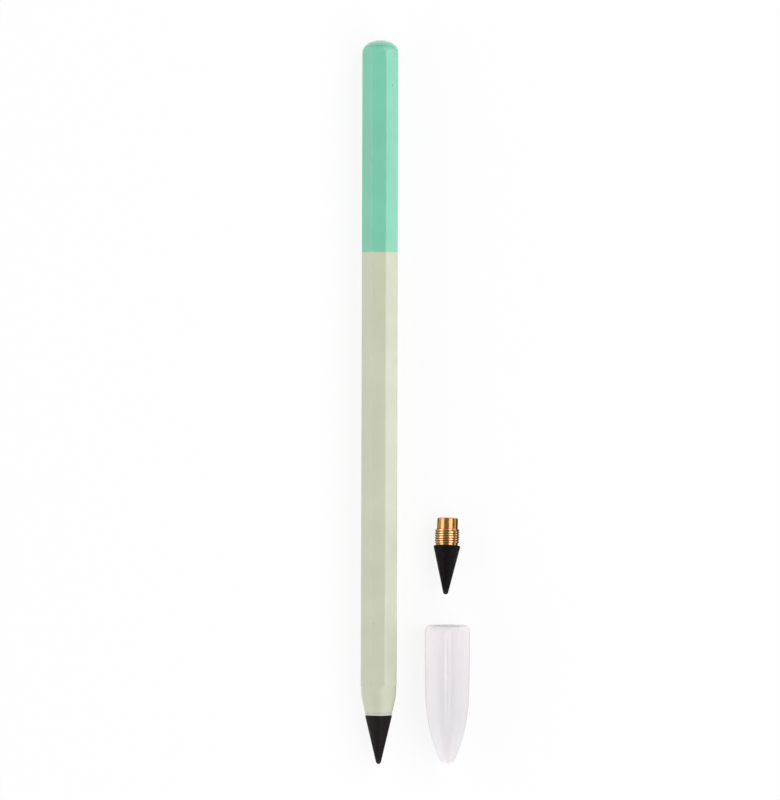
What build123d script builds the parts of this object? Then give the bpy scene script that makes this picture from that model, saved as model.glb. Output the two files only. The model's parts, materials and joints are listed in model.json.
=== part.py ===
from build123d import *

import os
from math import asin, atan, atan2, cos, hypot, pi, radians, sin, tan

# Inkless metal pencil: an octagonal barrel with a screw-in writing nib and a domed tail plug,
# laid out with its push-on nib cap and a spare nib. All sizes are in millimetres.
#
# The set lies on a table at Z = 0. The pencil lies along Y on one facet of its barrel, with the
# nib towards -Y and the domed end towards +Y. The origin is on that facet, under the middle of
# the pencil's length. The cap and the spare nib lie beside it, towards +X.

# Barrel: an octagonal tube with a turned nose and a rounded tail
FACETS = 8
ACROSS_FLATS = 7.3
CORNER_ROUND = 0.3
BARREL_LENGTH = 138.5
NOSE_RIM_WALL = 0.3
NOSE_RIM_LENGTH = 0.75
NOSE_RIM_ROUND = 0.08
NOSE_STEP = 0.08
NOSE_STEP_ROUND = 0.05
NOSE_ANGLE = 12.7
NOSE_BLEND = 13.0
NOSE_SKIM = 0.01
NOSE_LAND = 0.15
RUNOUT_ANGLE = 20.0
TAIL_SEAM_INSET = 0.37
TAIL_TAPER_LENGTH = 1.75
TAIL_ARC_RADIUS = 3.3
TAIL_SEAM_ROUND = 0.09

# Tail plug: a bevelled, domed head with a stem pressed into the bore
PLUG_HEAD = 1.35
PLUG_BEVEL_HEIGHT = 0.65
PLUG_BEVEL_INSET = 0.63
PLUG_CROWN_BLEND = 0.6
PLUG_STEM_LENGTH = 7.0
PLUG_STEM_CHAMFER = 0.4
PLUG_RIM_ROUND = 0.05
PRESS_CLEARANCE = 0.01

# Nib: a graphite-alloy cone whose stem is bonded into a brass stud with an M5 x 0.5 thread
NIB_LENGTH = 10.15
NIB_RIM_STEP = 0.04
NIB_TIP_RADIUS = 0.55
NIB_BACK_BEVEL = 0.2
THREAD_DIAMETER = 5.0
THREAD_PITCH = 0.5
THREAD_LENGTH = 3.4
THREAD_LEAD = 0.2
THREAD_CLEARANCE = 0.02
SOCKET_RUNOUT = 0.4
PILOT_CLEARANCE = 0.125
PILOT_LENGTH = 2.3
PILOT_CHAMFER = 0.18
NIB_STEM_DIAMETER = 3.0
NIB_STEM_LENGTH = 4.8
NIB_STEM_CHAMFER = 0.3
BOND_CLEARANCE = 0.02

# Cap: a bullet-shaped shell with a straight collar that grips the barrel's corners
CAP_LENGTH = 28.8
CAP_WALL = 0.72
CAP_GRIP_CLEARANCE = 0.025
CAP_COLLAR = 6.0
CAP_SHOULDER = 14.0
CAP_DRAFT = 1.0
CAP_NOSE_RADIUS = 1.8
CAP_LIP_HEIGHT = 1.15
CAP_LIP_INSET = 0.58
CAP_LIP_INNER_ROUND = 0.1

# Layout on the table
CAP_GAP = 5.7
SPARE_GAP = 6.37
SPARE_SHIFT = -0.25
SPARE_YAW = -1.24

# Places along the pencil
apothem = ACROSS_FLATS / 2
corner_reach = apothem / cos(pi / FACETS) - CORNER_ROUND * (1 / cos(pi / FACETS) - 1)
pencil_length = NIB_LENGTH + BARREL_LENGTH + PLUG_HEAD
tip_y = -pencil_length / 2
front_y = tip_y + NIB_LENGTH
rear_y = front_y + BARREL_LENGTH
pencil_plane = Plane.XY.offset(apothem)
pencil_axis = Axis((0, 0, apothem), (0, 1, 0))
barrel_plane = Plane(origin=(0, front_y, apothem), x_dir=(1, 0, 0), z_dir=(0, 1, 0))


def turned_axis(plane):
    """The axis that a profile drawn on this plane is turned about."""
    return Axis(plane.origin, plane.y_dir)


# Barrel
nose_angle = radians(NOSE_ANGLE)
bore_radius = (THREAD_DIAMETER - THREAD_PITCH) / 2
socket_radius = THREAD_DIAMETER / 2 + THREAD_CLEARANCE
socket_y = front_y + THREAD_LENGTH + SOCKET_RUNOUT
rim_radius = socket_radius + NOSE_RIM_WALL
step_radius = rim_radius + NOSE_STEP
step_y = front_y + NOSE_RIM_LENGTH
turned_radius = apothem + NOSE_SKIM
cone_end_y = step_y + (turned_radius - step_radius) / tan(nose_angle)
runout_y = cone_end_y + NOSE_BLEND * tan(nose_angle / 2) + NOSE_LAND
stock_radius = ACROSS_FLATS
stock_y = runout_y + (stock_radius - turned_radius) / tan(radians(RUNOUT_ANGLE))
tail_taper_y = rear_y - TAIL_TAPER_LENGTH
seam_radius = apothem - TAIL_SEAM_INSET

with BuildPart() as barrel:
    with BuildSketch(barrel_plane):
        RegularPolygon(apothem, FACETS, major_radius=False, rotation=180 / FACETS)
        fillet(vertices(), CORNER_ROUND)
    extrude(amount=BARREL_LENGTH)
    # The lathe leaves only what lies inside this outline: rim, step, nose cone, blend into the flats,
    # run-out through the corners, and the rounded tail; the bore and the nib's socket are in it too.
    with BuildSketch(pencil_plane):
        with BuildLine():
            Polyline(
                (rim_radius, front_y),
                (rim_radius, step_y),
                (step_radius, step_y),
                (turned_radius, cone_end_y),
                (turned_radius, runout_y),
                (stock_radius, stock_y),
                (stock_radius, tail_taper_y),
                (corner_reach, tail_taper_y),
            )
            RadiusArc((corner_reach, tail_taper_y), (seam_radius, rear_y), -TAIL_ARC_RADIUS)
            Polyline(
                (seam_radius, rear_y),
                (bore_radius, rear_y),
                (bore_radius, socket_y),
                (socket_radius, socket_y),
                (socket_radius, front_y),
                (rim_radius, front_y),
            )
        make_face()
        blend_corner = Vector(turned_radius, cone_end_y)
        rim_corner = Vector(rim_radius, front_y)
        step_corner = Vector(step_radius, step_y)
        seam_corner = Vector(seam_radius, rear_y)
        fillet(vertices().sort_by_distance(blend_corner)[0], NOSE_BLEND)
        fillet(vertices().sort_by_distance(rim_corner)[0], NOSE_RIM_ROUND)
        fillet(vertices().sort_by_distance(step_corner)[0], NOSE_STEP_ROUND)
        fillet(vertices().sort_by_distance(seam_corner)[0], TAIL_SEAM_ROUND)
    revolve(axis=pencil_axis, mode=Mode.INTERSECT)
barrel.part.label = "barrel"

# Tail plug
stem_radius = bore_radius - PRESS_CLEARANCE
stem_end_y = rear_y - PLUG_STEM_LENGTH
dome_top_y = rear_y + PLUG_HEAD
crown_radius = seam_radius - PLUG_BEVEL_INSET
crown_y = rear_y + PLUG_BEVEL_HEIGHT
crown_height = PLUG_HEAD - PLUG_BEVEL_HEIGHT
dome_radius = (crown_radius**2 + crown_height**2) / (2 * crown_height)

with BuildPart() as tail_plug:
    with BuildSketch(pencil_plane):
        with BuildLine():
            Polyline(
                (0, dome_top_y),
                (0, stem_end_y),
                (stem_radius - PLUG_STEM_CHAMFER, stem_end_y),
                (stem_radius, stem_end_y + PLUG_STEM_CHAMFER),
                (stem_radius, rear_y),
                (seam_radius, rear_y),
                (crown_radius, crown_y),
            )
            RadiusArc((crown_radius, crown_y), (0, dome_top_y), -dome_radius)
        make_face()
        rim_corner = Vector(seam_radius, rear_y)
        crown_corner = Vector(crown_radius, crown_y)
        fillet(vertices().sort_by_distance(rim_corner)[0], PLUG_RIM_ROUND)
        fillet(vertices().sort_by_distance(crown_corner)[0], PLUG_CROWN_BLEND)
    revolve(axis=pencil_axis)
tail_plug.part.label = "tail_plug"

# Nib: both pieces are drawn with the seat on the barrel's rim at y = 0, the cone towards -y and
# the stud towards +y
nib_radius = rim_radius - NIB_RIM_STEP
thread_radius = THREAD_DIAMETER / 2
pilot_radius = bore_radius - PILOT_CLEARANCE
nib_stem_radius = NIB_STEM_DIAMETER / 2
ferrule_bore_radius = nib_stem_radius + BOND_CLEARANCE
ferrule_length = THREAD_LENGTH + PILOT_LENGTH
tip_centre = NIB_LENGTH - NIB_TIP_RADIUS
cone_height = tip_centre - NIB_BACK_BEVEL
cone_angle = atan2(nib_radius, cone_height) - asin(NIB_TIP_RADIUS / hypot(nib_radius, cone_height))


def nib_ferrule(plane):
    """The brass stud: a threaded length, drawn at its crests, and a plain pilot, bored through."""
    with BuildPart() as ferrule:
        with BuildSketch(plane):
            with BuildLine():
                Polyline(
                    (ferrule_bore_radius, 0),
                    (thread_radius, 0),
                    (thread_radius, THREAD_LENGTH - THREAD_LEAD),
                    (thread_radius - THREAD_LEAD, THREAD_LENGTH),
                    (pilot_radius, THREAD_LENGTH),
                    (pilot_radius, ferrule_length - PILOT_CHAMFER),
                    (pilot_radius - PILOT_CHAMFER, ferrule_length),
                    (ferrule_bore_radius, ferrule_length),
                    close=True,
                )
            make_face()
        revolve(axis=turned_axis(plane))
    return ferrule


def nib_point(plane):
    """The writing cone with its rounded tip, bevelled back edge and bonded stem."""
    tip_tangent = (
        NIB_TIP_RADIUS * cos(cone_angle),
        -tip_centre - NIB_TIP_RADIUS * sin(cone_angle),
    )
    with BuildPart() as point:
        with BuildSketch(plane):
            with BuildLine():
                Polyline(
                    (0, -NIB_LENGTH),
                    (0, NIB_STEM_LENGTH),
                    (nib_stem_radius - NIB_STEM_CHAMFER, NIB_STEM_LENGTH),
                    (nib_stem_radius, NIB_STEM_LENGTH - NIB_STEM_CHAMFER),
                    (nib_stem_radius, 0),
                    (nib_radius - NIB_BACK_BEVEL, 0),
                    (nib_radius, -NIB_BACK_BEVEL),
                    tip_tangent,
                )
                RadiusArc(tip_tangent, (0, -NIB_LENGTH), NIB_TIP_RADIUS)
            make_face()
        revolve(axis=turned_axis(plane))
    return point


nib_plane = Plane(origin=(0, front_y, apothem), x_dir=(1, 0, 0), z_dir=(0, 0, 1))

fitted_ferrule = nib_ferrule(nib_plane)
fitted_ferrule.part.label = "nib_ferrule"
fitted_point = nib_point(nib_plane)
fitted_point.part.label = "nib_point"

# Cap: the outline runs down the straight collar, along the drafted side and round one long arc
# into the nose; the inner wall is the same outline moved inwards, and the lip is rounded off outside
cap_radius = corner_reach + CAP_GRIP_CLEARANCE + CAP_WALL
cap_draft = radians(CAP_DRAFT)
nose_centre = CAP_LENGTH - CAP_NOSE_RADIUS
shoulder_radius = cap_radius - (CAP_SHOULDER - CAP_COLLAR) * tan(cap_draft)
shoulder_drop = CAP_SHOULDER - nose_centre
ogive_radius = (shoulder_radius**2 + shoulder_drop**2 - CAP_NOSE_RADIUS**2) / (
    2 * (shoulder_radius * cos(cap_draft) + shoulder_drop * sin(cap_draft) - CAP_NOSE_RADIUS)
)
ogive_x = shoulder_radius - ogive_radius * cos(cap_draft)
ogive_y = CAP_SHOULDER - ogive_radius * sin(cap_draft)
nose_angle_at_arc = atan2(nose_centre - ogive_y, -ogive_x)
lip_radius = (CAP_LIP_HEIGHT**2 + CAP_LIP_INSET**2) / (2 * CAP_LIP_INSET)
lip_side = (cap_radius, -CAP_LIP_HEIGHT)
lip_end = (cap_radius - CAP_LIP_INSET, 0)


def cap_outline(inset):
    """Draws the cap's closed half outline, moved inwards by a wall thickness."""
    wall_radius = cap_radius - inset
    shoulder = (
        shoulder_radius - inset * cos(cap_draft),
        -CAP_SHOULDER + inset * sin(cap_draft),
    )
    nose_radius = CAP_NOSE_RADIUS - inset
    nose_start = (
        nose_radius * cos(nose_angle_at_arc),
        -nose_centre - nose_radius * sin(nose_angle_at_arc),
    )
    nose_end = (0, -nose_centre - nose_radius)
    Polyline(
        nose_end,
        (0, 0),
        (wall_radius, 0),
        (wall_radius, -CAP_COLLAR + inset * tan(cap_draft / 2)),
        shoulder,
    )
    RadiusArc(shoulder, nose_start, ogive_radius - inset)
    RadiusArc(nose_start, nose_end, nose_radius)


# The cap rests on its drafted side, so its nose points down a little
cap_mouth = Vector(
    corner_reach + CAP_GAP + cap_radius,
    tip_y + CAP_LENGTH * cos(cap_draft),
    cap_radius * cos(cap_draft) + CAP_COLLAR * sin(cap_draft),
)
cap_plane = Plane(origin=cap_mouth, x_dir=(1, 0, 0), z_dir=(0, -sin(cap_draft), cos(cap_draft)))

with BuildPart() as cap:
    with BuildSketch(cap_plane):
        with BuildLine():
            cap_outline(0)
        make_face()
        with BuildLine():
            cap_outline(CAP_WALL)
        make_face(mode=Mode.SUBTRACT)
        with BuildLine():
            RadiusArc(lip_side, lip_end, -lip_radius)
            Polyline(lip_end, (cap_radius, 0), lip_side)
        make_face(mode=Mode.SUBTRACT)
        fillet(vertices().group_by(Axis.Y)[-1].sort_by(Axis.X)[0], CAP_LIP_INNER_ROUND)
    revolve(axis=turned_axis(cap_plane))
cap.part.label = "cap"

# The spare nib rests on the edge of its cone and on the end of its thread, so its tip points up
spare_tilt = atan((nib_radius - thread_radius) / (THREAD_LENGTH - THREAD_LEAD + NIB_BACK_BEVEL))
spare_yaw = radians(SPARE_YAW)
spare_axis = Vector(
    -sin(spare_yaw) * cos(spare_tilt),
    cos(spare_yaw) * cos(spare_tilt),
    -sin(spare_tilt),
)
spare_side = Vector(cos(spare_yaw), sin(spare_yaw), 0)
spare_height = nib_radius * cos(spare_tilt) - NIB_BACK_BEVEL * sin(spare_tilt)
spare_seat_y = cap_mouth.Y + SPARE_GAP + NIB_LENGTH
spare_plane = Plane(
    origin=(cap_mouth.X + SPARE_SHIFT, spare_seat_y, spare_height),
    x_dir=spare_side,
    z_dir=spare_side.cross(spare_axis),
)

spare_ferrule = nib_ferrule(spare_plane)
spare_ferrule.part.label = "spare_ferrule"
spare_point = nib_point(spare_plane)
spare_point.part.label = "spare_point"

os.makedirs("parts", exist_ok=True)
for piece in (barrel, tail_plug, fitted_ferrule, fitted_point, spare_ferrule, spare_point, cap):
    export_step(piece.part, f"parts/{piece.part.label}.step")
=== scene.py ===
import json
from math import asin, atan2, cos, pi, radians, sin, tan, tau

import bmesh
import bpy
from mathutils import Euler, Matrix, Vector


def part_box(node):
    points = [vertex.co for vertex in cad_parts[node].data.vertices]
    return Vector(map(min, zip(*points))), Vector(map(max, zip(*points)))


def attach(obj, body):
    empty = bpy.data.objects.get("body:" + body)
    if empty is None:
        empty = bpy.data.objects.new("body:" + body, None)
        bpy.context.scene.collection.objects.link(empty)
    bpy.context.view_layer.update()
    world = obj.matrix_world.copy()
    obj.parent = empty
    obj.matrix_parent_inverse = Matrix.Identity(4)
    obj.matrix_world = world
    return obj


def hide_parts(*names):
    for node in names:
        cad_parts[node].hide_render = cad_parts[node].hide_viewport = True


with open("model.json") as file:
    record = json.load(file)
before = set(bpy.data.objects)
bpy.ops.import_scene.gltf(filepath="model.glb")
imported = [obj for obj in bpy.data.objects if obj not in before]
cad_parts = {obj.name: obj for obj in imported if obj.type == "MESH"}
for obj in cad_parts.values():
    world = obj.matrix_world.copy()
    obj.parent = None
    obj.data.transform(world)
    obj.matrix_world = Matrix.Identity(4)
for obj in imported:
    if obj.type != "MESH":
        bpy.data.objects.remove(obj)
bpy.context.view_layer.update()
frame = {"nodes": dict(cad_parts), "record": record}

# An inkless metal pencil, seen from above on a white table, with its cap and a spare nib beside it.
# The solids carry the shapes. Here they get their finishes, and the nib studs get their threads.

MM = 0.001

# Framing: the picture's height in pixels, the size of a pixel at the pencil, and where the camera is
IMAGE_HEIGHT = 800
PIXEL = 0.20718 * MM
CAMERA_DISTANCE = 1.0
CAMERA_SIDE = radians(3.3)
CAMERA_ROLL = radians(0.165)
VIEW_CENTRE_X = 2.19 * MM
VIEW_CENTRE_Y = 0.435 * MM
SENSOR_HEIGHT = 36.0
CLIP_START = 0.01

# Studio: each panel's angle from straight above towards +X, its spread as seen from the table,
# and its level, where 1 is picture white. The pencil, the loose pieces and the loose brass have
# softboxes of their own. The pencil mirrors a low panel, and the cap mirrors two strips overhead.
LIGHT_DISTANCE = 1.3
SOFTBOX_LENGTH = 3.4
STRIP_LENGTH = 1.4
PENCIL_RIGHT = (radians(41), radians(36), 2.67)
PENCIL_LEFT = (radians(-67.5), radians(43), 1.7)
PENCIL_CARD = (radians(81), radians(16), 4.2)
LOOSE_RIGHT = (radians(55), radians(36), 1.65)
LOOSE_LEFT = (radians(-64.5), radians(49), 1.4)
LOOSE_TAIL = (radians(65), radians(40), 0.6)
LOOSE_FRONT = (radians(65), radians(40), 1.0)
BRASS_RIGHT = (radians(41), radians(36), 2.3)
BRASS_LEFT = (radians(-64.5), radians(49), 2.05)
LEFT_STRIP = (radians(-5.5), radians(3), 20.0)
RIGHT_STRIP = (radians(14.5), radians(3), 14.0)
ROOM_LEVEL = 0.25
FLOOR_WIDTH = 12.0
FLOOR_DROP = 0.02 * MM
FLOOR_COLOUR = (0.95, 0.95, 0.95, 1)
FLOOR_WHITE_SHARE = 0.88

# Cards on the table: the loose brass mirrors a dark one, painted shade beside it, and grey ones shade
# the cap's edges
DARK_CARD_WIDTH = 18.5 * MM
DARK_CARD_LENGTH = 9 * MM
DARK_CARD_OFFSET = Vector((1.75 * MM, 0, 0))
SHADE_CARD_COLOUR = (0.06, 0.045, 0.03, 1)
GREY_CARD_LENGTH = 36 * MM
GREY_CARD_COLOUR = (0.35, 0.34, 0.35, 1)
GREY_CARDS = (
    ("right_grey_card", Vector((13 * MM, -14 * MM, 0)), 20 * MM),
    ("left_grey_card", Vector((-6.5 * MM, -14 * MM, 0)), 7 * MM),
)

# Lacquer
MINT_LENGTH = 44.0 * MM
MINT_EDGE_BLUR = 0.08 * MM
MINT_EDGE_WANDER = 0.06 * MM
CORNER_START = 3.8 * MM
CORNER_FULL = 3.9 * MM
RIM_LENGTH = 0.75 * MM
BARE_BORE_RADIUS = 2.66 * MM
SEAM_HALF_WIDTH = 0.12 * MM
SPOTS = (
    (Vector((2.66, 65.45, 2.5)) * MM, Vector((0.18, 0.34, 0.2)) * MM),
    (Vector((-0.81, -45.8, 3.65)) * MM, Vector((0.2, 0.16, 0.2)) * MM),
)
MINT = (0.195, 0.575, 0.4, 1)
SAGE = (0.575, 0.6, 0.455, 1)
RIM_SAGE = (0.53, 0.53, 0.475, 1)
# Painted shade in the seam between the barrel and its plug
SEAM_SHADE = (0.1, 0.3, 0.21, 1)
SPECK = (0.12, 0.16, 0.13, 1)
BARE_ALUMINIUM = (0.8, 0.8, 0.79, 1)
LACQUER_DRIFT = {"Scale": 160.0, "Depth": 0.16}
LACQUER_SMEARS = {"Scale": 240.0, "Least": 0.3, "Most": 0.42}
LACQUER_SPECKS = {"Scale": 260.0, "Radius": 0.05, "Share": 0.02}
LACQUER_PEEL_SCALE = 1500.0
LACQUER_RELIEF = 0.003 * MM
CORNER_WEAR = {"Scale": 420.0, "Amount": 0.06}
CROWN_WEAR = {"Scale": 420.0, "Amount": 0.08}
CROWN_START = 0.9 * MM
CROWN_FULL = 0.5 * MM
SEAM_STRENGTH = 0.25
SPECK_STRENGTH = 0.5
SPOT_STRENGTH = 0.45
MINT_FILM = 2.0
EDGE_NOISE_SCALE = 900.0
BORE_RING_SCALE = 9000.0

# Brass
BRASS = (0.62, 0.31, 0.115, 1)
# Painted highlight on the crests of the thread
BRASS_CREST_HIGHLIGHT = (0.86, 0.56, 0.24, 1)
BRASS_DRIFT = {"Scale": 500.0, "Depth": 0.25}
BRASS_SMEARS = {"Scale": 700.0, "Least": 0.16, "Most": 0.26}
BRASS_RING_SCALE = 16000.0
BRASS_RELIEF = 0.003 * MM
CREST_HIGHLIGHT_START = 0.12 * MM
CREST_HIGHLIGHT_FULL = 0.02 * MM

# Graphite alloy of the used nib and of the spare one: one black, painted lighter and darker as
# painted light and shade
GRAPHITE_PAINTED_LIGHTER = (0.0125, 0.009, 0.0095, 1)
GRAPHITE_PAINTED_DARKER = (0.004, 0.0025, 0.0028, 1)
GRAPHITE_GLINT = (0.25, 0.24, 0.24, 1)
GRAPHITE_RUBBED = (0.1, 0.09, 0.088, 1)
GRAPHITE_DRIFT = {"Scale": 800.0, "Depth": 0.8}
GRAPHITE_GLINTS = {"Scale": 5200.0, "Radius": 0.28, "Share": 0.12}
GRAPHITE_SMEARS = {"Scale": 900.0, "Least": 0.5, "Most": 0.66}
GRAPHITE_RUB = {"Scale": 1500.0, "Amount": 0.25}
GLINT_STRENGTH = 0.12
GRAPHITE_RING_SCALE = 12000.0
GRAPHITE_GRAIN_SCALE = 6000.0
GRAPHITE_GRAIN = 0.6
GRAPHITE_RELIEF = 0.004 * MM
TIP_RUB_START = -8.6 * MM
TIP_RUB_FULL = -9.9 * MM

# Cap: its inside near the mouth is painted paler, as painted light coming through its wall
MILKY = (0.868, 0.806, 0.846, 1)
MILKY_PAINTED_LIGHT = (0.98, 0.945, 0.968, 1)
CAP_INSIDE_RADIUS = 4.0 * MM
CAP_PAINTED_LIGHT_END = -11.0 * MM
CAP_PAINTED_LIGHT_FULL = -8.0 * MM
CAP_HAZE_DRIFT = {"Scale": 220.0, "Depth": 0.02}
CAP_SMEARS = {"Scale": 300.0, "Least": 0.32, "Most": 0.4}
CAP_PEEL_SCALE = 900.0
CAP_RELIEF = 0.0005 * MM
CAP_SCATTER = 1.2 * MM

# Bare metal of the socket
SOCKET_DRIFT = {"Scale": 700.0, "Depth": 0.2}
SOCKET_SMEARS = {"Scale": 700.0, "Least": 0.25, "Most": 0.4}

# Nib stud: a plain relief, an M5 x 0.5 thread and a pilot, bored for the point's stem
THREAD_PITCH = 0.5 * MM
THREAD_CREST = 2.5 * MM
THREAD_DEPTH = 0.27 * MM
THREAD_CREST_FLAT = 0.22 * MM
THREAD_ROOT_FLAT = 0.04 * MM
THREAD_END = 3.4 * MM
THREAD_LEAD = 0.2 * MM
THREAD_STEPS = 96
RELIEF_LENGTH = 0.3 * MM
RELIEF_RUN_IN = 0.05 * MM
PILOT_RADIUS = 2.125 * MM
PILOT_CHAMFER = 0.18 * MM
STUD_LENGTH = 5.7 * MM
STUD_BORE = 1.52 * MM
STUD_EDGE_ROUND = 0.04 * MM
SOCKET_START = 0.25 * MM
SOCKET_END = 3.8 * MM
SOCKET_RUN_OUT = 0.05 * MM
SOCKET_CLEARANCE = 0.015 * MM
SOCKET_WALL = 2.57 * MM
SHARP_ANGLE = radians(32)
TOUCH = 0.001 * MM
MERGE_DISTANCE = 0.0005 * MM
CUT_DISTANCE = 0.0001 * MM

# Places, from the solids
barrel_low, barrel_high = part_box("barrel")
axis_height = (barrel_low.z + barrel_high.z) / 2
front_y = barrel_low.y
rear_y = barrel_high.y
tail_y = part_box("tail_plug")[1].y
mounts = {mount["name"]: mount for mount in frame["record"]["mounts"]}


def standing_along(point, axis):
    """A placing with its origin at the point and its Y axis along the given axis."""
    turn = Euler((asin(axis.z), 0, atan2(-axis.x, axis.y)))
    return Matrix.Translation(point) @ turn.to_matrix().to_4x4()


stud = mounts["spare_stud"]
stud_axis = Vector(stud["axis"]).normalized()
stud_half = stud["dims"]["length_mm"] * MM / 2
spare_place = standing_along(Vector(stud["pos_m"]) - stud_axis * stud_half, stud_axis)
fitted_place = standing_along(Vector((0, front_y, axis_height)), Vector((0, 1, 0)))
cap_axis = Vector(mounts["cap_bore"]["axis"]).normalized()
cap_place = standing_along(Vector(mounts["cap_bore"]["pos_m"]), cap_axis)
barrel_place = Matrix.Translation((0, 0, axis_height))


# Node helpers
def feed(tree, socket, source):
    """Gives a socket a constant, or links it to another node's output."""
    if isinstance(source, bpy.types.NodeSocket):
        tree.links.new(source, socket)
    else:
        socket.default_value = source


def maths(tree, operation, *values):
    """The output of a Math node."""
    node = tree.nodes.new("ShaderNodeMath")
    node.operation = operation
    for socket, value in zip(node.inputs, values):
        feed(tree, socket, value)
    return node.outputs["Value"]


def ramp(tree, value, start, end, low=0.0, high=1.0):
    """A value eased from low to high as the input goes from start to end."""
    node = tree.nodes.new("ShaderNodeMapRange")
    node.interpolation_type = "SMOOTHSTEP"
    feed(tree, node.inputs["Value"], value)
    feed(tree, node.inputs["From Min"], start)
    feed(tree, node.inputs["From Max"], end)
    feed(tree, node.inputs["To Min"], low)
    feed(tree, node.inputs["To Max"], high)
    return node.outputs["Result"]


def tint(tree, mask, first, second):
    """The first colour where the mask is 0, the second where it is 1."""
    node = tree.nodes.new("ShaderNodeMix")
    node.data_type = "RGBA"
    feed(tree, node.inputs[0], mask)
    feed(tree, node.inputs[6], first)
    feed(tree, node.inputs[7], second)
    return node.outputs[2]


def noise(tree, vector, scale, detail):
    """A noise value of about 0.3 to 0.7 over the surface."""
    node = tree.nodes.new("ShaderNodeTexNoise")
    feed(tree, node.inputs["Vector"], vector)
    feed(tree, node.inputs["Scale"], scale)
    node.inputs["Detail"].default_value = detail
    return node.outputs["Fac"]


def place_on(tree, place):
    """Object coordinates measured from a piece's own placing."""
    coordinates = tree.nodes.new("ShaderNodeTexCoord")
    mapping = tree.nodes.new("ShaderNodeMapping")
    mapping.vector_type = "TEXTURE"
    mapping.inputs["Location"].default_value = place.to_translation()
    mapping.inputs["Rotation"].default_value = place.to_euler()
    tree.links.new(coordinates.outputs["Object"], mapping.inputs["Vector"])
    return mapping.outputs["Vector"]


def split(tree, vector):
    """The three coordinates of a vector."""
    node = tree.nodes.new("ShaderNodeSeparateXYZ")
    tree.links.new(vector, node.inputs["Vector"])
    return node.outputs["X"], node.outputs["Y"], node.outputs["Z"]


def distance_from_axis(tree, across, up):
    """How far a point is from the Y axis of its placing."""
    square = maths(tree, "MULTIPLY_ADD", up, up, maths(tree, "MULTIPLY", across, across))
    return maths(tree, "SQRT", square)


def spot(tree, place, centre, reach):
    """A soft oval spot round a point, reaching this far each way."""
    mapping = tree.nodes.new("ShaderNodeMapping")
    mapping.vector_type = "TEXTURE"
    mapping.inputs["Location"].default_value = centre
    mapping.inputs["Scale"].default_value = reach
    tree.links.new(place, mapping.inputs["Vector"])
    length = tree.nodes.new("ShaderNodeVectorMath")
    length.operation = "LENGTH"
    tree.links.new(mapping.outputs["Vector"], length.inputs[0])
    return ramp(tree, length.outputs["Value"], 1.0, 0.5)


def bump(tree, height, depth):
    """A normal that follows a height of 0 to 1, this deep in metres."""
    node = tree.nodes.new("ShaderNodeBump")
    node.inputs["Strength"].default_value = 1.0
    node.inputs["Distance"].default_value = depth
    tree.links.new(height, node.inputs["Height"])
    return node.outputs["Normal"]


# Shared effects
def effect(name, inputs, outputs):
    """A node group with these sockets; gives the group, its inside tree's inputs and its outputs."""
    group = bpy.data.node_groups.new(name, "ShaderNodeTree")
    for label, kind in inputs:
        group.interface.new_socket(label, in_out="INPUT", socket_type=kind)
    for label, kind in outputs:
        group.interface.new_socket(label, in_out="OUTPUT", socket_type=kind)
    return group, group.nodes.new("NodeGroupInput").outputs, group.nodes.new("NodeGroupOutput").inputs


def use(tree, group, **values):
    """Places a group in a material with its own values."""
    node = tree.nodes.new("ShaderNodeGroup")
    node.node_tree = group
    for label, value in values.items():
        feed(tree, node.inputs[label], value)
    return node.outputs


# Noise values at which smears and worn patches begin and are full, and the finer half of a peel
SMEAR_RANGE = (0.32, 0.68)
PATCH_RANGE = (0.35, 0.62)
FINE_PEEL_RATIO = 3.7
FINE_PEEL_SHARE = 0.35
VECTOR = "NodeSocketVector"
VALUE = "NodeSocketFloat"
COLOUR = "NodeSocketColor"


def colour_drift():
    """A colour that drifts a little lighter and darker over the surface."""
    group, given, result = effect(
        "colour_drift",
        [("Vector", VECTOR), ("Colour", COLOUR), ("Scale", VALUE), ("Depth", VALUE)],
        [("Colour", COLOUR)],
    )
    wave = noise(group, given["Vector"], given["Scale"], 3)
    swing = maths(group, "MULTIPLY", maths(group, "SUBTRACT", wave, 0.5), given["Depth"])
    node = group.nodes.new("ShaderNodeVectorMath")
    node.operation = "SCALE"
    group.links.new(given["Colour"], node.inputs[0])
    group.links.new(maths(group, "ADD", swing, 1.0), node.inputs["Scale"])
    group.links.new(node.outputs["Vector"], result["Colour"])
    return group


def handling_marks():
    """A roughness that varies where hands have polished or dulled the surface."""
    group, given, result = effect(
        "handling_marks",
        [("Vector", VECTOR), ("Scale", VALUE), ("Least", VALUE), ("Most", VALUE)],
        [("Roughness", VALUE)],
    )
    smears = noise(group, given["Vector"], given["Scale"], 4)
    roughness = ramp(group, smears, *SMEAR_RANGE, given["Least"], given["Most"])
    group.links.new(roughness, result["Roughness"])
    return group


def worn_edges():
    """An edge mask broken up, so that wear comes and goes along the edge."""
    group, given, result = effect(
        "worn_edges",
        [("Vector", VECTOR), ("Edge", VALUE), ("Scale", VALUE), ("Amount", VALUE)],
        [("Mask", VALUE)],
    )
    patches = ramp(group, noise(group, given["Vector"], given["Scale"], 3), *PATCH_RANGE)
    worn = maths(group, "MULTIPLY", given["Edge"], patches)
    group.links.new(maths(group, "MULTIPLY", worn, given["Amount"]), result["Mask"])
    return group


def stray_specks():
    """Small round specks in a few scattered places."""
    group, given, result = effect(
        "stray_specks",
        [("Vector", VECTOR), ("Scale", VALUE), ("Radius", VALUE), ("Share", VALUE)],
        [("Mask", VALUE)],
    )
    cells = group.nodes.new("ShaderNodeTexVoronoi")
    group.links.new(given["Vector"], cells.inputs["Vector"])
    group.links.new(given["Scale"], cells.inputs["Scale"])
    dot = maths(group, "LESS_THAN", cells.outputs["Distance"], given["Radius"])
    chance = split(group, cells.outputs["Color"])[0]
    chosen = maths(group, "LESS_THAN", chance, given["Share"])
    group.links.new(maths(group, "MULTIPLY", dot, chosen), result["Mask"])
    return group


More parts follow.
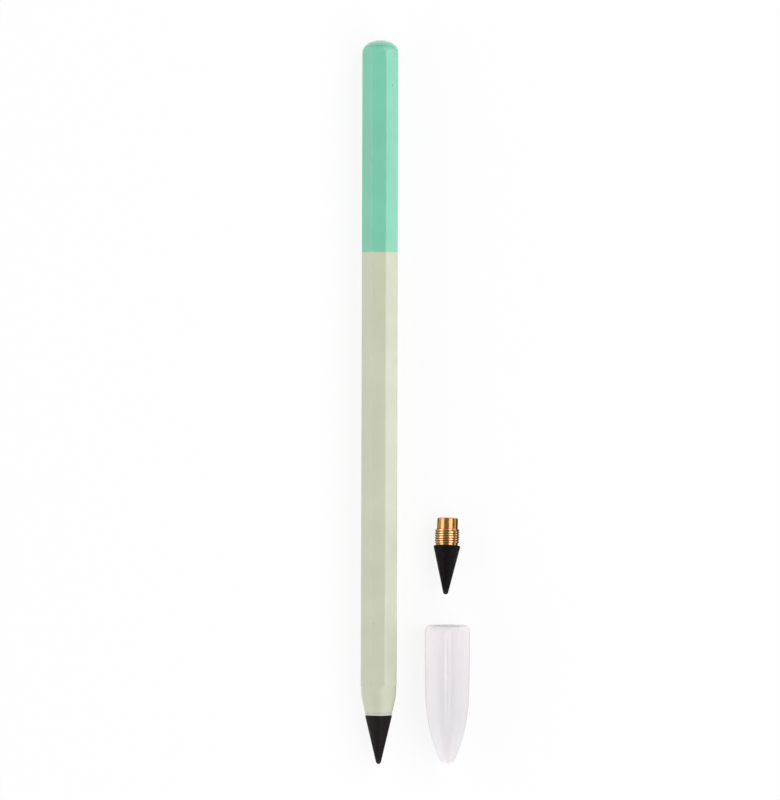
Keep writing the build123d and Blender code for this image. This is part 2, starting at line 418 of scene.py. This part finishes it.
def turning_lines():
    """Fine rings left by a turning tool along an axis."""
    group, given, result = effect(
        "turning_lines",
        [("Along", VALUE), ("Scale", VALUE)],
        [("Height", VALUE)],
    )
    rings = group.nodes.new("ShaderNodeTexNoise")
    rings.noise_dimensions = "1D"
    rings.inputs["Detail"].default_value = 3
    group.links.new(given["Along"], rings.inputs["W"])
    group.links.new(given["Scale"], rings.inputs["Scale"])
    group.links.new(rings.outputs["Fac"], result["Height"])
    return group


def orange_peel():
    """The soft unevenness of a sprayed or moulded surface."""
    group, given, result = effect(
        "orange_peel",
        [("Vector", VECTOR), ("Scale", VALUE)],
        [("Height", VALUE)],
    )
    broad = noise(group, given["Vector"], given["Scale"], 1)
    fine_scale = maths(group, "MULTIPLY", given["Scale"], FINE_PEEL_RATIO)
    fine = noise(group, given["Vector"], fine_scale, 2)
    group.links.new(maths(group, "MULTIPLY_ADD", fine, FINE_PEEL_SHARE, broad), result["Height"])
    return group


DRIFT = colour_drift()
HANDLING = handling_marks()
WEAR = worn_edges()
SPECKS = stray_specks()
TURNING = turning_lines()
PEEL = orange_peel()


# Finishes
def finish(name):
    """A new material; gives it, its tree and its shader."""
    material = bpy.data.materials.new(name)
    material.use_nodes = True
    return material, material.node_tree, material.node_tree.nodes["Principled BSDF"]


def barrel_lacquer():
    """Mint and sage lacquer on the octagon, thin at its corners and rim, with bare metal inside."""
    material, tree, shader = finish("barrel_lacquer")
    place = place_on(tree, barrel_place)
    across, along, up = split(tree, place)
    radius = distance_from_axis(tree, across, up)
    wander = maths(tree, "MULTIPLY", noise(tree, place, EDGE_NOISE_SCALE, 2), MINT_EDGE_WANDER)
    edge = maths(tree, "ADD", along, wander)
    mint_start = tail_y - MINT_LENGTH + MINT_EDGE_WANDER / 2
    mint_mask = ramp(tree, edge, mint_start - MINT_EDGE_BLUR, mint_start + MINT_EDGE_BLUR)
    lacquer = tint(tree, mint_mask, SAGE, MINT)
    rim = maths(tree, "LESS_THAN", along, front_y + RIM_LENGTH)
    lacquer = tint(tree, rim, lacquer, RIM_SAGE)
    lacquer = use(tree, DRIFT, Vector=place, Colour=lacquer, **LACQUER_DRIFT)["Colour"]

    corner = ramp(tree, radius, CORNER_START, CORNER_FULL)
    worn = use(tree, WEAR, Vector=place, Edge=corner, **CORNER_WEAR)["Mask"]
    lacquer = tint(tree, worn, lacquer, BARE_ALUMINIUM)
    # Painted shade along the barrel's side of the seam with the plug
    seam = ramp(tree, along, rear_y - SEAM_HALF_WIDTH, rear_y, 0.0, SEAM_STRENGTH)
    lacquer = tint(tree, seam, lacquer, SEAM_SHADE)
    specks = use(tree, SPECKS, Vector=place, **LACQUER_SPECKS)["Mask"]
    specks = maths(tree, "MULTIPLY", specks, SPECK_STRENGTH)
    for centre, reach in SPOTS:
        shade = maths(tree, "MULTIPLY", spot(tree, place, centre, reach), SPOT_STRENGTH)
        specks = maths(tree, "MAXIMUM", specks, shade)
    lacquer = tint(tree, specks, lacquer, SPECK)

    bare = maths(tree, "LESS_THAN", radius, BARE_BORE_RADIUS)
    feed(tree, shader.inputs["Base Color"], tint(tree, bare, lacquer, BARE_ALUMINIUM))
    feed(tree, shader.inputs["Metallic"], bare)
    smears = use(tree, HANDLING, Vector=place, **LACQUER_SMEARS)["Roughness"]
    feed(tree, shader.inputs["Roughness"], smears)

    peel = use(tree, PEEL, Vector=place, Scale=LACQUER_PEEL_SCALE)["Height"]
    rings = use(tree, TURNING, Along=along, Scale=BORE_RING_SCALE)["Height"]
    film = maths(tree, "MULTIPLY_ADD", mint_mask, MINT_FILM, peel)
    height = ramp(tree, bare, 0.0, 1.0, film, rings)
    feed(tree, shader.inputs["Normal"], bump(tree, height, LACQUER_RELIEF))
    return material


def plug_lacquer():
    """Mint lacquer on the domed plug, with painted shade in its seam, worn a little on its crown."""
    material, tree, shader = finish("plug_lacquer")
    place = place_on(tree, barrel_place)
    along = split(tree, place)[1]
    lacquer = use(tree, DRIFT, Vector=place, Colour=MINT, **LACQUER_DRIFT)["Colour"]
    crown = ramp(tree, along, tail_y - CROWN_START, tail_y - CROWN_FULL)
    worn = use(tree, WEAR, Vector=place, Edge=crown, **CROWN_WEAR)["Mask"]
    lacquer = tint(tree, worn, lacquer, BARE_ALUMINIUM)
    # Painted shade along the plug's side of the seam
    seam = ramp(tree, along, rear_y + SEAM_HALF_WIDTH, rear_y, 0.0, SEAM_STRENGTH)
    feed(tree, shader.inputs["Base Color"], tint(tree, seam, lacquer, SEAM_SHADE))
    smears = use(tree, HANDLING, Vector=place, **LACQUER_SMEARS)["Roughness"]
    feed(tree, shader.inputs["Roughness"], smears)
    peel = use(tree, PEEL, Vector=place, Scale=LACQUER_PEEL_SCALE)["Height"]
    feed(tree, shader.inputs["Normal"], bump(tree, peel, LACQUER_RELIEF))
    shader.inputs["Coat Weight"].default_value = 1.0
    shader.inputs["Coat Roughness"].default_value = 0.2
    return material


def turned_brass(name, nib_place):
    """Bright brass with tool rings, with a painted highlight on the crests of its thread."""
    material, tree, shader = finish(name)
    place = place_on(tree, nib_place)
    across, along, up = split(tree, place)
    brass = use(tree, DRIFT, Vector=place, Colour=BRASS, **BRASS_DRIFT)["Colour"]
    radius = distance_from_axis(tree, across, up)
    # Painted highlight on the thread's crests, the points furthest from the axis
    crest = ramp(tree, radius, THREAD_CREST - CREST_HIGHLIGHT_START, THREAD_CREST - CREST_HIGHLIGHT_FULL)
    feed(tree, shader.inputs["Base Color"], tint(tree, crest, brass, BRASS_CREST_HIGHLIGHT))
    feed(tree, shader.inputs["Metallic"], 1.0)
    smears = use(tree, HANDLING, Vector=place, **BRASS_SMEARS)["Roughness"]
    feed(tree, shader.inputs["Roughness"], smears)
    rings = use(tree, TURNING, Along=along, Scale=BRASS_RING_SCALE)["Height"]
    feed(tree, shader.inputs["Normal"], bump(tree, rings, BRASS_RELIEF))
    return material


def graphite_alloy(name, nib_place, colour):
    """Black graphite alloy with faint rings and painted glints, burnished towards its tip."""
    material, tree, shader = finish(name)
    place = place_on(tree, nib_place)
    along = split(tree, place)[1]
    black = use(tree, DRIFT, Vector=place, Colour=colour, **GRAPHITE_DRIFT)["Colour"]
    # Painted glints: scattered specks of lighter grey standing in for sparkle
    glints = use(tree, SPECKS, Vector=place, **GRAPHITE_GLINTS)["Mask"]
    black = tint(tree, maths(tree, "MULTIPLY", glints, GLINT_STRENGTH), black, GRAPHITE_GLINT)
    tip = ramp(tree, along, TIP_RUB_START, TIP_RUB_FULL)
    rubbed = use(tree, WEAR, Vector=place, Edge=tip, **GRAPHITE_RUB)["Mask"]
    feed(tree, shader.inputs["Base Color"], tint(tree, rubbed, black, GRAPHITE_RUBBED))
    smears = use(tree, HANDLING, Vector=place, **GRAPHITE_SMEARS)["Roughness"]
    feed(tree, shader.inputs["Roughness"], smears)
    rings = use(tree, TURNING, Along=along, Scale=GRAPHITE_RING_SCALE)["Height"]
    grain = use(tree, PEEL, Vector=place, Scale=GRAPHITE_GRAIN_SCALE)["Height"]
    height = maths(tree, "MULTIPLY_ADD", grain, GRAPHITE_GRAIN, rings)
    feed(tree, shader.inputs["Normal"], bump(tree, height, GRAPHITE_RELIEF))
    shader.inputs["Specular IOR Level"].default_value = 0.1
    return material


def milky_plastic():
    """Translucent moulded plastic, a little cloudy, with painted light inside its mouth."""
    material, tree, shader = finish("milky_plastic")
    place = place_on(tree, cap_place)
    across, along, up = split(tree, place)
    haze = use(tree, DRIFT, Vector=place, Colour=MILKY, **CAP_HAZE_DRIFT)["Colour"]
    radius = distance_from_axis(tree, across, up)
    # Painted light on the inside of the cap near its mouth
    inside = maths(tree, "LESS_THAN", radius, CAP_INSIDE_RADIUS)
    painted_glow = maths(tree, "MULTIPLY", inside, ramp(tree, along, CAP_PAINTED_LIGHT_END, CAP_PAINTED_LIGHT_FULL))
    feed(tree, shader.inputs["Base Color"], tint(tree, painted_glow, haze, MILKY_PAINTED_LIGHT))
    smears = use(tree, HANDLING, Vector=place, **CAP_SMEARS)["Roughness"]
    feed(tree, shader.inputs["Roughness"], smears)
    peel = use(tree, PEEL, Vector=place, Scale=CAP_PEEL_SCALE)["Height"]
    feed(tree, shader.inputs["Normal"], bump(tree, peel, CAP_RELIEF))
    shader.inputs["IOR"].default_value = 1.49
    shader.inputs["Specular IOR Level"].default_value = 0.0
    shader.inputs["Subsurface Weight"].default_value = 1.0
    shader.inputs["Subsurface Radius"].default_value = (1.0, 1.0, 1.0)
    shader.inputs["Subsurface Scale"].default_value = CAP_SCATTER
    shader.inputs["Coat Weight"].default_value = 0.5
    shader.inputs["Coat Roughness"].default_value = 0.14
    return material


def socket_metal():
    """Bare aluminium of the threaded socket."""
    material, tree, shader = finish("socket_metal")
    place = place_on(tree, fitted_place)
    metal = use(tree, DRIFT, Vector=place, Colour=BARE_ALUMINIUM, **SOCKET_DRIFT)["Colour"]
    feed(tree, shader.inputs["Base Color"], metal)
    feed(tree, shader.inputs["Metallic"], 1.0)
    smears = use(tree, HANDLING, Vector=place, **SOCKET_SMEARS)["Roughness"]
    feed(tree, shader.inputs["Roughness"], smears)
    return material


# Threads
def ring_edges(bm, height):
    """The open edges that lie at this height along the axis."""
    return [
        edge
        for edge in bm.edges
        if edge.is_boundary and all(abs(vert.co.y - height) < TOUCH for vert in edge.verts)
    ]


def join_rings(bm, *heights):
    """Bridges the two open rings at these heights, once all faces are turned the same way."""
    bmesh.ops.recalc_face_normals(bm, faces=bm.faces)
    rings = [edge for height in heights for edge in ring_edges(bm, height)]
    bmesh.ops.bridge_loops(bm, edges=rings)


def cut_thread(bm, growth, start, end):
    """A right-hand thread about Y, larger than the stud's by growth, cut square at both ends."""
    root = THREAD_CREST - THREAD_DEPTH + growth
    crest = THREAD_CREST + growth
    flank = (THREAD_PITCH - THREAD_CREST_FLAT - THREAD_ROOT_FLAT) / 2
    outline = (
        (root, 0),
        (root, THREAD_ROOT_FLAT),
        (crest, THREAD_ROOT_FLAT + flank),
        (crest, THREAD_PITCH - flank),
        (root, THREAD_PITCH),
    )
    points = [bm.verts.new((radius, height - 2 * THREAD_PITCH, 0)) for radius, height in outline]
    profile = [bm.edges.new(pair) for pair in zip(points, points[1:])]
    turns = round((end + 3 * THREAD_PITCH) / THREAD_PITCH)
    bmesh.ops.spin(
        bm,
        geom=points + profile,
        cent=(0, 0, 0),
        axis=(0, 1, 0),
        dvec=(0, THREAD_PITCH / THREAD_STEPS, 0),
        angle=tau * turns,
        steps=THREAD_STEPS * turns,
    )
    bmesh.ops.remove_doubles(bm, verts=bm.verts, dist=MERGE_DISTANCE)
    for height, way in ((start, -1), (end, 1)):
        bmesh.ops.bisect_plane(
            bm,
            geom=bm.verts[:] + bm.edges[:] + bm.faces[:],
            dist=CUT_DISTANCE,
            plane_co=(0, height, 0),
            plane_no=(0, way, 0),
            clear_outer=True,
        )


def turn_profile(bm, profile, edge_round):
    """Turns an open profile of (radius, height) points about Y, with its corners rounded."""
    points = [bm.verts.new((radius, height, 0)) for radius, height in profile]
    for pair in zip(points, points[1:]):
        bm.edges.new(pair)
    if edge_round:
        bmesh.ops.bevel(
            bm,
            geom=points[1:-1],
            offset=edge_round,
            offset_type="OFFSET",
            affect="VERTICES",
            segments=3,
            profile=0.5,
            material=-1,
        )
    wire = [edge for edge in bm.edges if edge.is_wire]
    ends = list(dict.fromkeys(vert for edge in wire for vert in edge.verts))
    bmesh.ops.spin(
        bm,
        geom=ends + wire,
        cent=(0, 0, 0),
        axis=(0, 1, 0),
        angle=tau,
        steps=THREAD_STEPS,
        use_merge=True,
    )


def hold_radius(bm, low, high, limit, keep):
    """Moves points between two heights to the radius that keep picks of theirs and the limit."""
    for vert in bm.verts:
        if low - TOUCH <= vert.co.y <= high + TOUCH:
            radius = Vector((vert.co.x, vert.co.z)).length
            scale = keep(radius, limit(vert.co.y)) / radius
            vert.co.x *= scale
            vert.co.z *= scale


def make_piece(name, bm, place, body, material):
    """Makes a finished piece from a closed shell drawn at the origin, and sets it on its body."""
    bmesh.ops.recalc_face_normals(bm, faces=bm.faces)
    mesh = bpy.data.meshes.new(name)
    bm.to_mesh(mesh)
    bm.free()
    mesh.transform(place)
    mesh.shade_smooth()
    mesh.set_sharp_from_angle(angle=SHARP_ANGLE)
    mesh.materials.append(material)
    piece = bpy.data.objects.new(name, mesh)
    bpy.context.scene.collection.objects.link(piece)
    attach(piece, body)
    return piece


def brass_stud(name, place, body, node, material):
    """The threaded stud of a nib, with its relief, pilot and bore."""
    bm = bmesh.new()
    cut_thread(bm, 0, RELIEF_LENGTH, THREAD_END)
    lead_in = THREAD_END - THREAD_LEAD
    hold_radius(bm, lead_in, THREAD_END, lambda y: THREAD_CREST - (y - lead_in), min)
    root = THREAD_CREST - THREAD_DEPTH
    run_in = RELIEF_LENGTH + THREAD_DEPTH
    hold_radius(bm, RELIEF_LENGTH, run_in, lambda y: root + (y - RELIEF_LENGTH), min)
    relief_end = RELIEF_LENGTH - RELIEF_RUN_IN
    turn_profile(
        bm,
        (
            (root, relief_end),
            (root, 0),
            (STUD_BORE, 0),
            (STUD_BORE, STUD_LENGTH),
            (PILOT_RADIUS - PILOT_CHAMFER, STUD_LENGTH),
            (PILOT_RADIUS, STUD_LENGTH - PILOT_CHAMFER),
            (PILOT_RADIUS, THREAD_END),
        ),
        STUD_EDGE_ROUND,
    )
    join_rings(bm, relief_end, RELIEF_LENGTH)
    join_rings(bm, THREAD_END)
    piece = make_piece(name, bm, place, body, material)
    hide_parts(node)
    return piece


def socket_thread():
    """The thread inside the barrel's nose, as a thin lining of its socket."""
    bm = bmesh.new()
    cut_thread(bm, SOCKET_CLEARANCE, SOCKET_START, SOCKET_END)
    wide = THREAD_CREST + SOCKET_CLEARANCE
    run_in = SOCKET_START + THREAD_DEPTH
    hold_radius(bm, SOCKET_START, run_in, lambda y: wide - (y - SOCKET_START), max)
    wall_end = SOCKET_END + SOCKET_RUN_OUT
    turn_profile(bm, ((SOCKET_WALL, SOCKET_START), (SOCKET_WALL, wall_end)), 0)
    join_rings(bm, SOCKET_END, wall_end)
    join_rings(bm, SOCKET_START)
    make_piece("socket_thread", bm, fitted_place, "pencil", socket_metal())


fitted_brass = turned_brass("fitted_brass", fitted_place)
brass_stud("fitted_stud", fitted_place, "nib", "nib_ferrule", fitted_brass)
spare_brass = turned_brass("spare_brass", spare_place)
spare_stud = brass_stud("spare_stud", spare_place, "spare_nib", "spare_ferrule", spare_brass)
socket_thread()

for node, material in (
    ("barrel", barrel_lacquer()),
    ("tail_plug", plug_lacquer()),
    # The two nibs share one black, painted lighter on the fitted nib and darker on the spare
    ("nib_point", graphite_alloy("fitted_graphite", fitted_place, GRAPHITE_PAINTED_LIGHTER)),
    ("spare_point", graphite_alloy("spare_graphite", spare_place, GRAPHITE_PAINTED_DARKER)),
    ("cap", milky_plastic()),
):
    frame["nodes"][node].data.materials[0] = material


# Table and studio
def table_white():
    """White that looks mostly plain white, also in mirrors, and keeps a share of its shadows."""
    material, tree, shader = finish("table_white")
    shader.inputs["Base Color"].default_value = FLOOR_COLOUR
    shader.inputs["Roughness"].default_value = 1.0
    shader.inputs["Specular IOR Level"].default_value = 0.0
    path = tree.nodes.new("ShaderNodeLightPath")
    seen = path.outputs["Is Camera Ray"]
    for ray in ("Is Transmission Ray", "Is Glossy Ray"):
        seen = maths(tree, "MAXIMUM", seen, path.outputs[ray])
    white = tree.nodes.new("ShaderNodeEmission")
    mix = tree.nodes.new("ShaderNodeMixShader")
    feed(tree, mix.inputs["Fac"], maths(tree, "MULTIPLY", seen, FLOOR_WHITE_SHARE))
    tree.links.new(shader.outputs["BSDF"], mix.inputs[1])
    tree.links.new(white.outputs["Emission"], mix.inputs[2])
    tree.links.new(mix.outputs["Shader"], tree.nodes["Material Output"].inputs["Surface"])
    return material


def flat_card(name, material, centre, width, length):
    """A flat piece lying level with its middle at a point."""
    bm = bmesh.new()
    bmesh.ops.create_grid(bm, x_segments=1, y_segments=1, size=0.5)
    bmesh.ops.scale(bm, verts=bm.verts, vec=(width, length, 1))
    bmesh.ops.translate(bm, verts=bm.verts, vec=centre)
    mesh = bpy.data.meshes.new(name)
    bm.to_mesh(mesh)
    bm.free()
    mesh.materials.append(material)
    piece = bpy.data.objects.new(name, mesh)
    bpy.context.scene.collection.objects.link(piece)
    return piece


def hidden_card(name, colour, middle, width, length, bounces):
    """A card on the table that only the pieces see, clear from below; bounces lets it shade them."""
    material, tree, shader = finish(name)
    shader.inputs["Base Color"].default_value = colour
    shader.inputs["Roughness"].default_value = 1.0
    side = tree.nodes.new("ShaderNodeNewGeometry")
    clear = tree.nodes.new("ShaderNodeBsdfTransparent")
    mix = tree.nodes.new("ShaderNodeMixShader")
    tree.links.new(side.outputs["Backfacing"], mix.inputs["Fac"])
    tree.links.new(shader.outputs["BSDF"], mix.inputs[1])
    tree.links.new(clear.outputs["BSDF"], mix.inputs[2])
    tree.links.new(mix.outputs["Shader"], tree.nodes["Material Output"].inputs["Surface"])
    card = flat_card(name, material, (middle.x, middle.y, -FLOOR_DROP / 2), width, length)
    card.visible_camera = False
    card.visible_diffuse = bounces
    card.visible_transmission = False
    card.visible_shadow = False


def facing(point, back, up):
    """A placing at the point that looks against back, with its top towards up."""
    side = up.cross(back).normalized()
    turn = Matrix((side, back.cross(side), back)).transposed()
    return Matrix.Translation(point) @ turn.to_4x4()


def light_panel(name, setting, length, turn=0):
    """A long panel that leans in over the table from +X, or from further round by a turn."""
    angle, spread, level = setting
    width = 2 * LIGHT_DISTANCE * tan(spread / 2)
    lamp = bpy.data.lights.new(name, "AREA")
    lamp.shape = "RECTANGLE"
    lamp.size = width
    lamp.size_y = length
    lamp.energy = level * pi * width * length
    around = Matrix.Rotation(turn, 3, "Z")
    back = around @ Vector((sin(angle), 0, cos(angle)))
    piece = bpy.data.objects.new(name, lamp)
    piece.matrix_world = facing(back * LIGHT_DISTANCE, back, around @ Vector((0, 1, 0)))
    piece.visible_camera = False
    bpy.context.scene.collection.objects.link(piece)
    return piece


def aim(panel, pieces, state="INCLUDE"):
    """Lets a panel light only these pieces, or all but these."""
    receivers = bpy.data.collections.new(panel.name + "_receivers")
    for piece in pieces:
        receivers.objects.link(piece)
    for entry in receivers.collection_objects:
        entry.light_linking.link_state = state
    panel.light_linking.receiver_collection = receivers


def studio_lights():
    """The softboxes of the pencil and of the loose pieces, and the panels that are only mirrored."""
    lacquered = [frame["nodes"]["barrel"], frame["nodes"]["tail_plug"]]
    cap = frame["nodes"]["cap"]
    loose = [cap, frame["nodes"]["spare_point"]]
    for name, setting in (("pencil_right", PENCIL_RIGHT), ("pencil_left", PENCIL_LEFT)):
        aim(light_panel(name, setting, SOFTBOX_LENGTH), loose + [spare_stud], "EXCLUDE")
    for name, setting, turn, pieces in (
        ("loose_right", LOOSE_RIGHT, 0, loose),
        ("loose_left", LOOSE_LEFT, 0, loose),
        ("loose_tail", LOOSE_TAIL, pi / 2, loose),
        ("loose_front", LOOSE_FRONT, -pi / 2, loose),
        ("brass_right", BRASS_RIGHT, 0, [spare_stud]),
        ("brass_left", BRASS_LEFT, 0, [spare_stud]),
    ):
        aim(light_panel(name, setting, SOFTBOX_LENGTH, turn), pieces)
    for name, setting, length, pieces in (
        ("pencil_card", PENCIL_CARD, SOFTBOX_LENGTH, lacquered),
        ("left_strip", LEFT_STRIP, STRIP_LENGTH, [cap]),
        ("right_strip", RIGHT_STRIP, STRIP_LENGTH, [cap]),
    ):
        panel = light_panel(name, setting, length)
        panel.visible_diffuse = False
        aim(panel, pieces)


def room():
    """Dim even light from the room."""
    world = bpy.data.worlds.new("room")
    world.use_nodes = True
    background = world.node_tree.nodes["Background"]
    background.inputs["Color"].default_value = (1, 1, 1, 1)
    background.inputs["Strength"].default_value = ROOM_LEVEL
    bpy.context.scene.world = world


def photo_camera():
    """The camera straight above, a little to the right."""
    lens = bpy.data.cameras.new("photo_camera")
    lens.sensor_fit = "VERTICAL"
    lens.sensor_height = SENSOR_HEIGHT
    lens.lens = SENSOR_HEIGHT * CAMERA_DISTANCE / (IMAGE_HEIGHT * PIXEL)
    lens.clip_start = CLIP_START
    camera = bpy.data.objects.new("photo_camera", lens)
    back = Vector((sin(CAMERA_SIDE), 0, cos(CAMERA_SIDE)))
    up = Vector((-sin(CAMERA_ROLL), cos(CAMERA_ROLL), 0))
    centre = Vector((VIEW_CENTRE_X, VIEW_CENTRE_Y, axis_height))
    camera.matrix_world = facing(centre + back * CAMERA_DISTANCE, back, up)
    bpy.context.scene.collection.objects.link(camera)
    bpy.context.scene.camera = camera


flat_card("table", table_white(), (0, 0, -FLOOR_DROP), FLOOR_WIDTH, FLOOR_WIDTH)
# Painted shade: a dark card beside the loose nib that only its brass mirrors
shade_card_middle = spare_place @ Vector((0, STUD_LENGTH / 2, 0)) + DARK_CARD_OFFSET
hidden_card("painted_shade_card", SHADE_CARD_COLOUR, shade_card_middle, DARK_CARD_WIDTH, DARK_CARD_LENGTH, False)
for name, offset, width in GREY_CARDS:
    grey_middle = cap_place.translation + offset
    hidden_card(name, GREY_CARD_COLOUR, grey_middle, width, GREY_CARD_LENGTH, True)
studio_lights()
room()
photo_camera()
bpy.context.scene.view_settings.view_transform = "Standard"
